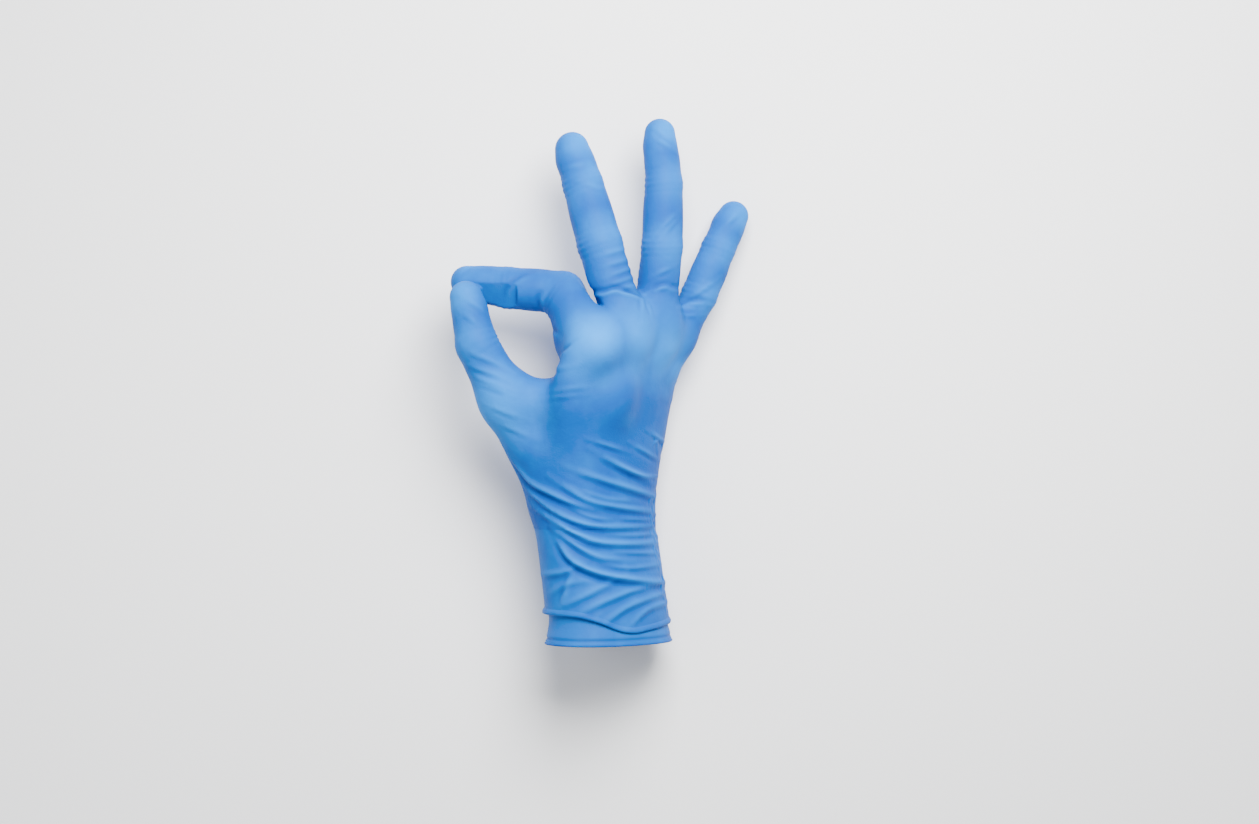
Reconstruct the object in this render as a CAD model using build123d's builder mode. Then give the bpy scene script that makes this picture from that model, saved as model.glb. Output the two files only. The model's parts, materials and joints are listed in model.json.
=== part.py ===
from build123d import *
import os
from math import asin, cos, degrees, radians, sin

os.makedirs("parts", exist_ok=True)

# A dipped disposable glove in its worn shape, thumb and forefinger closed in a ring.
# It lies on the little-finger edge of the hand: +Z up from the table, +Y from the cuff to
# the fingertips. The origin is on the table, under the middle of the glove.

# Film
WALL = 0.5  # stand-in wall of the film
CLEAR = 0.35  # room between two sections at a crease

# The hand is rolled about +Y, so the thumb side is up and to the left
ROLL = 50
RADIAL = Vector(-cos(radians(ROLL)), 0, sin(radians(ROLL)))
DORSAL = Vector(sin(radians(ROLL)), 0, cos(radians(ROLL)))
UP_HAND = Vector(0, 1, 0)

HALF_LENGTH = 114.45


def at(x, y, z):
    """A point of the glove, with y counted from the cuff's edge."""
    return Vector(x, y - HALF_LENGTH, z)


# Creases and tips of each stall: knuckle, crease, crease, tip, each with its radius
THUMB = [
    (at(-40.5, 105.7, 43), 10.2),
    (at(-53, 129.6, 45), 8.8),
    (at(-58, 149.3, 44.6), 6.2),
]
INDEX = [
    (at(-2, 127, 58), 8.9),
    (at(-16, 152.5, 35), 9.2),
    (at(-40, 154.5, 33.5), 8.6),
    (at(-58.3, 157, 32), 6.4),
]
MIDDLE = [
    (at(11.5, 131, 43), 8.7),
    (at(0, 173, 39.5), 9.4),
    (at(-7.5, 199.5, 34.5), 8.4),
    (at(-12, 215.5, 31), 7.0),
]
RING = [
    (at(23, 130, 29.5), 8.5),
    (at(27, 172.5, 31), 8.6),
    (at(27.8, 200, 29.5), 7.7),
    (at(26.3, 222.5, 27), 6.4),
]
LITTLE = [
    (at(31, 122, 16.5), 7.7),
    (at(43.5, 152, 16), 7.6),
    (at(52, 172.5, 13), 7.0),
    (at(58.5, 187, 9.5), 6.2),
]

# Axes that the stalls fold about, positive towards the palm
FINGER_AXIS = RADIAL
INDEX_ROOT_AXIS = Vector(-0.923, -0.33, 0.196)
INDEX_STRAIGHT = Vector(-0.3, 0.94, 0.17)  # the way the forefinger points when it is opened
INDEX_AXIS = Vector(0.09, 0.687, 0.72)
THUMB_AXIS = Vector(-0.8, -0.2, -0.57)
WIDE_MOUTH, BENT_MOUTH = 126, 146  # where the ball over a crease stops, behind it
SOCKET_REACH = 3  # how far beyond the stall's radius a socket is cut away
SOCKET_TILT = 26  # how far each knuckle's socket opens on the palm side

# Sections across the wrist and the palm: y from the cuff's edge, x and z of the middle,
# half width, half depth
WRIST = (57, -2, 28, 30, 21)
WRIST_ROUND = (45, -2, 28, 23.6, 16.4)  # the palm's film rounds in behind the wrist's bend
PALM_SECTIONS = [WRIST_ROUND, WRIST, (92, 4.5, 30.2, 35, 17), (115, 8, 34, 38, 14.5)]
KNUCKLE_ROOT = 24  # length of the palm's ridge behind each knuckle
KNUCKLE_SINK = 2  # the ridge starts this far below the back of the hand
THUMB_ROOT = (at(-20, 76, 38), 14.5)
WEB_ROOT = (at(2, 104, 46), 10.5)
WEB_END = (at(-34, 106.5, 43.5), 8.4)

# Cuff: an end band with a rolled bead, and a sleeve that laps over the band
CUFF_X = 3.8
CUFF_WIDE, CUFF_DEEP = 33.4, 24.4  # half width and half depth at the bead
CUFF_Z = ((CUFF_WIDE * sin(radians(ROLL))) ** 2 + (CUFF_DEEP * cos(radians(ROLL))) ** 2) ** 0.5
BEAD_RADIUS = 0.55
BAND_TOP = 9
BAND_TUCK = 2.4  # the band is this much narrower where the sleeve laps over it
SLEEVE_START = 6.5
SLEEVE_GAP = 0.7  # the sleeve's room outside the band
SLEEVE_MIDDLE = (32, 1.5, 29, 31, 22)
SLEEVE_RIM_CUT = 7  # the sleeve's rim stands this far behind the wrist's bend

REACH = 40  # half size of the blocks that trim a section


def ellipse_plane(section):
    """The plane across the hand at a section, with x along the hand's width."""
    y, x, z = section[:3]
    return Plane(origin=at(x, y, z), x_dir=RADIAL, z_dir=UP_HAND)


def crease_plane(point, along, axis):
    """A plane that a crease folds in: x along the section, y to the back of the hand."""
    along = along.normalized()
    axis = (axis - along * axis.dot(along)).normalized()
    return Plane(origin=point, x_dir=along, z_dir=-axis)


def polar(radius, angle):
    """A point of a section's profile, at an angle from the section's own direction."""
    return radius * cos(radians(angle)), radius * sin(radians(angle))


def palm_side_block(plane, tilt, ahead):
    """A wedge on the palm side of a crease, up to a tilted plane through the crease.

    The wedge lies ahead of the plane, or else behind it.
    """
    t, side = radians(tilt), 1 if ahead else -1
    with BuildPart() as block:
        with BuildSketch(plane):
            with BuildLine():
                Polyline(
                    (0, 0),
                    (-side * REACH * sin(t), -REACH * cos(t)),
                    (side * REACH, -REACH),
                    (side * REACH, 0),
                    close=True,
                )
            make_face()
        extrude(amount=REACH, both=True)
    return block.part


def socket_block(knuckle, radius, along, axis):
    """What is cut away ahead of a knuckle's socket, further on the palm side."""
    reach = radius + SOCKET_REACH
    t = radians(SOCKET_TILT)
    with BuildPart() as block:
        with BuildSketch(crease_plane(knuckle, along, axis)):
            with BuildLine():
                Polyline(
                    (0, 0),
                    (0, reach),
                    (reach, reach),
                    (reach, -reach),
                    (-reach * sin(t), -reach * cos(t)),
                    close=True,
                )
            make_face()
        extrude(amount=radius + CLEAR + WALL, both=True)
    return block.part


def round_cone(start, start_radius, stop, stop_radius, inset):
    """A taper between two balls, both smaller by the inset."""
    r0, r1, length = start_radius - inset, stop_radius - inset, (stop - start).length
    # The tangent line of two circles leans by this angle
    lean = degrees(asin((r0 - r1) / length))
    ahead = stop - start
    side = Plane(origin=start, x_dir=ahead, z_dir=ahead.cross(DORSAL))
    end = [(length + x, y) for x, y in (polar(r1, 90 - lean), polar(r1, 45 - lean / 2))]
    with BuildPart() as body:
        with BuildSketch(side):
            with BuildLine():
                ThreePointArc((-r0, 0), polar(r0, 135 - lean / 2), polar(r0, 90 - lean))
                Line(polar(r0, 90 - lean), end[0])
                ThreePointArc(end[0], end[1], (length + r1, 0))
                Line((length + r1, 0), (-r0, 0))
            make_face()
        revolve(axis=Axis(start, ahead), revolution_arc=360)
    return body.part


def film_section(name, base, end, axis, tilt, mouth, next_axis=None, next_tilt=0):
    """One section of a stall: a ball over its crease, then a taper to the next crease.

    The ball is open behind, from the angle called mouth. A section with no next crease ends
    in a round tip. Both creases are cut back on the palm side so that the stall can fold.
    """
    (start, r0), (stop, r1) = base, end
    along, length = stop - start, (stop - start).length
    own_plane = crease_plane(start, along, axis)
    taper = (r1 - r0) / length
    middle_angle = (mouth + 90) / 2
    blocks = [palm_side_block(own_plane, tilt, ahead=False)]
    if next_axis is not None:
        next_plane = crease_plane(stop, along, next_axis)
        blocks.append(palm_side_block(next_plane, next_tilt, ahead=True))
    with BuildPart() as section:
        with BuildSketch(own_plane):
            with BuildLine():
                ThreePointArc(polar(r0, mouth), polar(r0, middle_angle), (0, r0))
                if next_axis is None:
                    Line((0, r0), (length, r1))
                    ThreePointArc((length, r1), (length + r1 / 2**0.5, r1 / 2**0.5), (length + r1, 0))
                    Line((length + r1, 0), (length + r1 - WALL, 0))
                    inner = r1 - WALL
                    inner_mid = (length + inner / 2**0.5, inner / 2**0.5)
                    ThreePointArc((length + inner, 0), inner_mid, (length, inner))
                    Line((length, inner), (0, r0 - WALL))
                else:
                    # The rim keeps clear of the next section's ball
                    clear = r1 + CLEAR
                    outer_x = length - (clear**2 - r1**2) ** 0.5
                    inner_x = length - (clear**2 - (r1 - WALL) ** 2) ** 0.5
                    outer_rim = (outer_x, r0 + taper * outer_x)
                    inner_rim = (inner_x, r0 - WALL + taper * inner_x)
                    Polyline((0, r0), outer_rim, inner_rim, (0, r0 - WALL))
                inner = r0 - WALL
                ThreePointArc((0, inner), polar(inner, middle_angle), polar(inner, mouth))
                Line(polar(inner, mouth), polar(r0, mouth))
            make_face()
        revolve(axis=Axis(start, along), revolution_arc=360)
        add(blocks, mode=Mode.SUBTRACT)
    section.part.label = name
    export_step(section.part, f"parts/{name}.step")


def stall(finger, points, axes, tilts, mouths):
    """All the sections of one stall, each folding about its own axis."""
    names = ["proximal", "middle", "tip"] if len(points) == 4 else ["proximal", "tip"]
    for i, word in enumerate(names):
        following = (axes[i + 1], tilts[i + 1]) if i < len(names) - 1 else ()
        film_section(
            f"{finger}_{word}", points[i], points[i + 1], axes[i], tilts[i], mouths[i], *following
        )


# Each stall's creases fold by twice their tilt before the film meets itself
stall("thumb", THUMB, [THUMB_AXIS] * 2, [20, 20], [WIDE_MOUTH] * 2)
stall("index", INDEX, [INDEX_ROOT_AXIS, INDEX_AXIS, INDEX_AXIS], [28, 34, 8],
      [BENT_MOUTH, BENT_MOUTH, WIDE_MOUTH])
for finger, points in (("middle", MIDDLE), ("ring", RING), ("little", LITTLE)):
    stall(finger, points, [FINGER_AXIS] * 3, [26, 36, 26], [WIDE_MOUTH] * 3)

# Palm: the back, the palm, the thumb's root, the web and the ridges behind the knuckles
thumb_knuckle, thumb_radius = THUMB[0]
thumb_along = thumb_knuckle - THUMB_ROOT[0]
socket_wall = CLEAR + WALL
palm_ridges = [
    (*THUMB_ROOT, thumb_knuckle, thumb_radius + socket_wall),
    (*WEB_ROOT, *WEB_END),
]
sockets = []
for points, along, axis in (
    (THUMB, thumb_along, THUMB_AXIS),
    (INDEX, INDEX_STRAIGHT, INDEX_ROOT_AXIS),
    (MIDDLE, MIDDLE[1][0] - MIDDLE[0][0], FINGER_AXIS),
    (RING, RING[1][0] - RING[0][0], FINGER_AXIS),
    (LITTLE, LITTLE[1][0] - LITTLE[0][0], FINGER_AXIS),
):
    knuckle, radius = points[0]
    sockets.append(socket_block(knuckle, radius, along, axis))
    if points is not THUMB:
        root = knuckle - UP_HAND * KNUCKLE_ROOT - DORSAL * KNUCKLE_SINK
        palm_ridges.append((root, radius - socket_wall, knuckle, radius + socket_wall))
outer_ridges = [round_cone(*ridge, inset=0) for ridge in palm_ridges]
inner_ridges = [round_cone(*ridge, inset=WALL) for ridge in palm_ridges]

with BuildPart() as palm:
    for section in PALM_SECTIONS:
        with BuildSketch(ellipse_plane(section)):
            Ellipse(section[3], section[4])
    loft()
    add(outer_ridges)
    # The inner form stops short of the knuckles, which leaves the film between them
    for section in PALM_SECTIONS:
        y = min(section[0], PALM_SECTIONS[-1][0] - 2 * WALL)
        with BuildSketch(ellipse_plane((y, *section[1:]))):
            Ellipse(section[3] - WALL, section[4] - WALL)
    loft(mode=Mode.SUBTRACT)
    add(inner_ridges, mode=Mode.SUBTRACT)
    add(sockets, mode=Mode.SUBTRACT)
palm.part.label = "palm"
export_step(palm.part, "parts/palm.step")

# Sleeve around the wrist, trimmed to clear the palm's round film as it bends
wrist_plane = ellipse_plane(WRIST)
wrist_wide, wrist_deep = WRIST[3:]
cuff_end = (SLEEVE_START, CUFF_X, CUFF_Z, CUFF_WIDE - BAND_TUCK + SLEEVE_GAP + WALL,
            CUFF_DEEP - BAND_TUCK + SLEEVE_GAP + WALL)
with BuildPart() as cuff_sleeve:
    for inset, mode in ((0, Mode.ADD), (WALL, Mode.SUBTRACT)):
        for section in (cuff_end, SLEEVE_MIDDLE, WRIST):
            with BuildSketch(ellipse_plane(section)):
                Ellipse(section[3] - inset, section[4] - inset)
        loft(mode=mode)
    with BuildSketch(wrist_plane):
        Ellipse(wrist_wide + CLEAR, wrist_deep + CLEAR)
        with Locations((0, -2 * wrist_deep)):
            Rectangle(4 * wrist_wide, 4 * wrist_deep, mode=Mode.SUBTRACT)
    revolve(axis=Axis(wrist_plane.origin, RADIAL), revolution_arc=360, mode=Mode.SUBTRACT)
    with BuildSketch(wrist_plane.offset(-SLEEVE_RIM_CUT)):
        Rectangle(3 * wrist_wide, 3 * wrist_wide)
    extrude(amount=2 * SLEEVE_RIM_CUT, mode=Mode.SUBTRACT)
cuff_sleeve.part.label = "cuff_sleeve"
export_step(cuff_sleeve.part, "parts/cuff_sleeve.step")

# End band of the cuff, flared towards the bead
band_low = (2 * BEAD_RADIUS + 0.05, CUFF_X, CUFF_Z, CUFF_WIDE, CUFF_DEEP)
band_high = (BAND_TOP, CUFF_X, CUFF_Z, CUFF_WIDE - BAND_TUCK, CUFF_DEEP - BAND_TUCK)
with BuildPart() as cuff_band:
    for inset, mode in ((0, Mode.ADD), (WALL, Mode.SUBTRACT)):
        for section in (band_low, band_high):
            with BuildSketch(ellipse_plane(section)):
                Ellipse(section[3] - inset, section[4] - inset)
        loft(mode=mode)
cuff_band.part.label = "cuff_band"
export_step(cuff_band.part, "parts/cuff_band.step")

# Rolled bead on the edge
bead_plane = ellipse_plane((BEAD_RADIUS, CUFF_X, CUFF_Z))
with BuildPart() as cuff_bead:
    with BuildLine(bead_plane) as bead_line:
        EllipticalCenterArc((0, 0), CUFF_WIDE - BEAD_RADIUS, CUFF_DEEP - BEAD_RADIUS, arc_size=360)
    with BuildSketch(Plane(origin=bead_line.line @ 0, z_dir=bead_line.line % 0)):
        Circle(BEAD_RADIUS)
    sweep()
cuff_bead.part.label = "cuff_bead"
export_step(cuff_bead.part, "parts/cuff_bead.step")
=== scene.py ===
"""A thin dipped glove in its worn shape, thumb and forefinger closed in a ring.

The film over the hand is one surface of an implicit field, worked out with numpy, wrinkled,
and cut into pieces at the middle of each section. The cuff's sleeve, band and bead are grids of
two parameters. Lengths are millimetres in the shared frame until a mesh is made.
"""

import json
import logging
import math
from dataclasses import dataclass, field
from enum import Enum

import bpy
import numpy as np
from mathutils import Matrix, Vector


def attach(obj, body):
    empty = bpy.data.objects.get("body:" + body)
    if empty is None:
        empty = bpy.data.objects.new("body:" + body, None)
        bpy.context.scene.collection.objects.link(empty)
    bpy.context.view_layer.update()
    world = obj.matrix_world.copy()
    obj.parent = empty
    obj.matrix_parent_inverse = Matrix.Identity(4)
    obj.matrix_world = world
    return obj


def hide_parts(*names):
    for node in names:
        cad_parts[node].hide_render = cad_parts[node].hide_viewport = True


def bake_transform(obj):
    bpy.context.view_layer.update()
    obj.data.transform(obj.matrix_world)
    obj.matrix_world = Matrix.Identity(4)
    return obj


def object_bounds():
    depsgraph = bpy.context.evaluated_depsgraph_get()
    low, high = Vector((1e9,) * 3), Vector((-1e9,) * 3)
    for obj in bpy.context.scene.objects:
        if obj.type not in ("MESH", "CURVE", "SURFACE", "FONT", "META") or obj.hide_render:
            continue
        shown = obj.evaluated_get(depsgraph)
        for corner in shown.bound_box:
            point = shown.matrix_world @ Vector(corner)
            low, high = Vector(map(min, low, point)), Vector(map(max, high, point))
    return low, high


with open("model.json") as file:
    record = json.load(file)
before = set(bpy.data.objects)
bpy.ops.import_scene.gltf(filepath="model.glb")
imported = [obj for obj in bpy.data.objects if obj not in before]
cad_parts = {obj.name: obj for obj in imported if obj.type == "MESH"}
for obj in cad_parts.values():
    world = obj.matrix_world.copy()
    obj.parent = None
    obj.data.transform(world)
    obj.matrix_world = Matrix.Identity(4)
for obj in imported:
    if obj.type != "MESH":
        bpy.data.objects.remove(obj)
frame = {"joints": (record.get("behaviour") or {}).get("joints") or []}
CAD_LOW, CAD_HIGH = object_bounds()

Array = np.ndarray
log = logging.getLogger("glove")

MM = 0.001
# How far a point may move in one round of settling onto the film, in mm
LONGEST_STEP = 0.6
# How high the glove's middle lies above the table, in mm
MIDDLE_HEIGHT = 29.0


def vec(*numbers: float) -> Array:
    """A row of numbers as an array."""
    return np.array(numbers, float)


def unit(v: Array) -> Array:
    """The same direction, one long."""
    return v / np.maximum(np.linalg.norm(v, axis=-1, keepdims=True), 1e-9)


JOINT_AT = {j["name"]: np.array(j["pos_m"]) / MM for j in frame["joints"]}
JOINT_AXIS = {j["name"]: unit(np.array(j["axis"], float)) for j in frame["joints"]}
CUFF_EDGE_Y = CAD_LOW[1] / MM
RADIAL = JOINT_AXIS["wrist_bend"]
ALONG = vec(0, 1, 0)
DORSAL = unit(np.cross(ALONG, RADIAL))


def up_from_cuff(*numbers: float) -> Array:
    """A point given with y counted from the cuff's edge."""
    return vec(*numbers) + ALONG * CUFF_EDGE_Y


# --------------------------------------------------------------------------------------------
# Shapes of the field


def smooth_min(a: Array, b: Array, k: float) -> Array:
    """The lesser of two fields, rounded where they are within k of each other.

    h = clamp(1/2 + (b - a) / 2k), and the result is b + (a - b) h - k h (1 - h).

    Args:
        a: one field's values.
        b: the other's.
        k: the reach of the rounding, in mm.

    Returns:
        The joined field's values.
    """
    h = np.clip(0.5 + 0.5 * (b - a) / k, 0, 1)
    return b + (a - b) * h - k * h * (1 - h)


def smoothstep(t: Array) -> Array:
    """3t^2 - 2t^3 of t held between 0 and 1."""
    t = np.clip(t, 0, 1)
    return t * t * (3 - 2 * t)


def along_segment(p: Array, a: Array, b: Array) -> Array:
    """How far along a to b each point lies: (p - a) . (b - a) / |b - a|^2, from 0 to 1."""
    d = b - a
    return np.clip(((p - a) @ d) / (d @ d), 0, 1)


def taper(p: Array, a: Array, b: Array, ra: float, rb: float) -> Array:
    """Distance to a round taper: that to its segment, less a radius that runs evenly along it.

    Args:
        p: points.
        a: the segment's start.
        b: its end.
        ra: radius at the start.
        rb: radius at the end.

    Returns:
        The distance in mm, below 0 inside.
    """
    t = along_segment(p, a, b)[..., None]
    return np.linalg.norm(p - a - t * (b - a), axis=-1) - (ra + t[..., 0] * (rb - ra))


@dataclass(frozen=True)
class Station:
    """An oval across the hand: y from the cuff's edge, its middle, half width and half depth."""

    y: float
    x: float
    z: float
    wide: float
    deep: float


@dataclass
class Oval:
    """A tube along the hand through oval stations, wider on the hand's radial axis.

    Between stations every size follows a curve through the stations' values.

    Args:
        stations: the ovals, from the cuff to the knuckles.
        squareness: the superellipse's power. 2 is a plain ellipse.
    """

    stations: list[Station]
    squareness: float = 2.15

    def sizes(self, y: Array) -> tuple[Array, Array, Array, Array]:
        """The oval's sizes at each y, by a Catmull-Rom curve through the stations.

        Args:
            y: heights in the shared frame.

        Returns:
            Middle x, middle z, half width and half depth.
        """
        rows = np.array([(s.y, s.x, s.z, s.wide, s.deep) for s in self.stations])
        heights = rows[:, 0] + CUFF_EDGE_Y
        t = np.interp(y, heights, np.arange(len(rows)))
        low = np.clip(np.floor(t).astype(int), 0, len(rows) - 2)
        part = t - low
        before, after = np.clip(low - 1, 0, None), np.clip(low + 2, None, len(rows) - 1)
        out = []
        for column in range(1, 5):
            c = rows[:, column]
            p0, p1, p2, p3 = c[before], c[low], c[low + 1], c[after]
            out.append(
                p1
                + 0.5 * part * (p2 - p0 + part * (2 * p0 - 5 * p1 + 4 * p2 - p3
                                                  + part * (3 * (p1 - p2) + p3 - p0)))
            )
        return tuple(out)

    def field(self, p: Array) -> Array:
        """About the distance to the tube: (superellipse norm - 1) times the local radius.

        Args:
            p: points.

        Returns:
            Values below 0 inside the tube.
        """
        x, z, wide, deep = self.sizes(p[..., 1])
        off = np.stack([p[..., 0] - x, np.zeros_like(x), p[..., 2] - z], axis=-1)
        u, v = (off @ RADIAL) / wide, (off @ DORSAL) / deep
        n = self.squareness
        norm = (np.abs(u) ** n + np.abs(v) ** n) ** (1 / n)
        reach = np.hypot(u * wide, v * deep) / np.maximum(np.hypot(u, v), 1e-6)
        return (norm - 1) * reach

    def normals(self, p: Array) -> Array:
        """Which way the tube's wall faces at points on it, by central differences."""
        shifts = np.eye(3) * 0.05
        return unit(np.stack([self.field(p + s) - self.field(p - s) for s in shifts], axis=-1))

    def ring(self, y: Array, angle: Array) -> Array:
        """Points on the tube: its middle, plus a ray whose superellipse norm is 1.

        Args:
            y: heights in the shared frame.
            angle: radians about the tube, 0 towards +X and a quarter turn towards +Z.

        Returns:
            A point for each height and angle.
        """
        x, z, wide, deep = self.sizes(y)
        ray = np.stack([np.cos(angle), np.zeros_like(angle), np.sin(angle)], axis=-1)
        u, v = (ray @ RADIAL) / wide, (ray @ DORSAL) / deep
        n = self.squareness
        reach = (np.abs(u) ** n + np.abs(v) ** n) ** (-1 / n)
        return np.stack([x + reach * np.cos(angle), y, z + reach * np.sin(angle)], axis=-1)


class Finger(Enum):
    """The glove's stalls."""

    THUMB = "thumb"
    INDEX = "index"
    MIDDLE = "middle"
    RING = "ring"
    LITTLE = "little"


@dataclass
class Stall:
    """A finger of the glove: a chain of tapers from its knuckle, through its creases, to its tip.

    Args:
        finger: which stall.
        tip: the middle of its round end.
        radii: film radius at the knuckle, each crease and the tip.
        pad: how far the fingertip's pad swells towards the palm side.
        bulge: how far the film swells between creases.
        open_angle: degrees by which the last section is shaped open, to be closed later.
        root_shift: how far the knuckle's round lies from its hinge.
    """

    finger: Finger
    tip: Array
    radii: tuple[float, ...]
    pad: float = 0.6
    bulge: float = 0.35
    open_angle: float = 0.0
    root_shift: tuple[float, ...] = (0, 0, 0)

    def __post_init__(self) -> None:
        """Take the hinges of the frame as the chain's points, and name the stall's nodes."""
        name = self.finger.value
        names = [f"{name}_knuckle", f"{name}_crease", f"{name}_tip_crease"][: len(self.radii) - 1]
        self.joints = names
        self.points = [JOINT_AT[n] for n in names] + [self.tip]
        self.points[0] = self.points[0] + np.array(self.root_shift)
        self.axes = [JOINT_AXIS[n] for n in names]
        self.nodes = [f"{name}_{w}" for w in ("proximal", "middle", "tip")][: len(names)]
        if len(names) == 2:
            self.nodes[1] = f"{name}_tip"
        if self.open_angle:
            pivot, axis = self.points[-2], self.axes[-1]
            self.points[-1] = turn(self.tip, pivot, axis, -math.radians(self.open_angle))

    def direction(self, i: int) -> Array:
        """The way section i points."""
        return unit(self.points[i + 1] - self.points[i])

    def field(self, p: Array) -> Array:
        """The least of its sections' distances, rounded a little at the creases.

        Each section is a taper that swells by bulge sin^2(pi t). The pad is a small ball on the
        palm side of the last one.

        Args:
            p: points.

        Returns:
            Values below 0 inside the stall.
        """
        out = None
        for i in range(len(self.points) - 1):
            a, b = self.points[i], self.points[i + 1]
            t = along_segment(p, a, b)
            d = taper(p, a, b, self.radii[i], self.radii[i + 1])
            d = d - self.bulge * np.sin(math.pi * t) ** 2
            out = d if out is None else smooth_min(out, d, 1.6)
        last = self.direction(len(self.points) - 2)
        palm_side = np.cross(self.axes[-1], last)
        at = self.points[-1] - last * 5 + palm_side * (self.pad + 0.4)
        ball = np.linalg.norm(p - at, axis=-1) - self.radii[-1] * 0.98
        return smooth_min(out, ball, 2.5)


def turn(p: Array, pivot: Array, axis: Array, angle: Array | float) -> Array:
    """Points turned about an axis through a pivot.

    Rodrigues: v cos + (axis x v) sin + axis (axis . v)(1 - cos), where v is from the pivot.

    Args:
        p: a point or points.
        pivot: a point on the axis.
        axis: its direction, one long.
        angle: radians, one for all or one each.

    Returns:
        The points after the turn.
    """
    v = p - pivot
    c, s = np.cos(angle), np.sin(angle)
    if np.ndim(angle):
        c, s = c[:, None], s[:, None]
    dot = (v @ axis)[..., None] if v.ndim > 1 else v @ axis
    return pivot + v * c + np.cross(axis, v) * s + axis * dot * (1 - c)


# --------------------------------------------------------------------------------------------
# The hand's field


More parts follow.
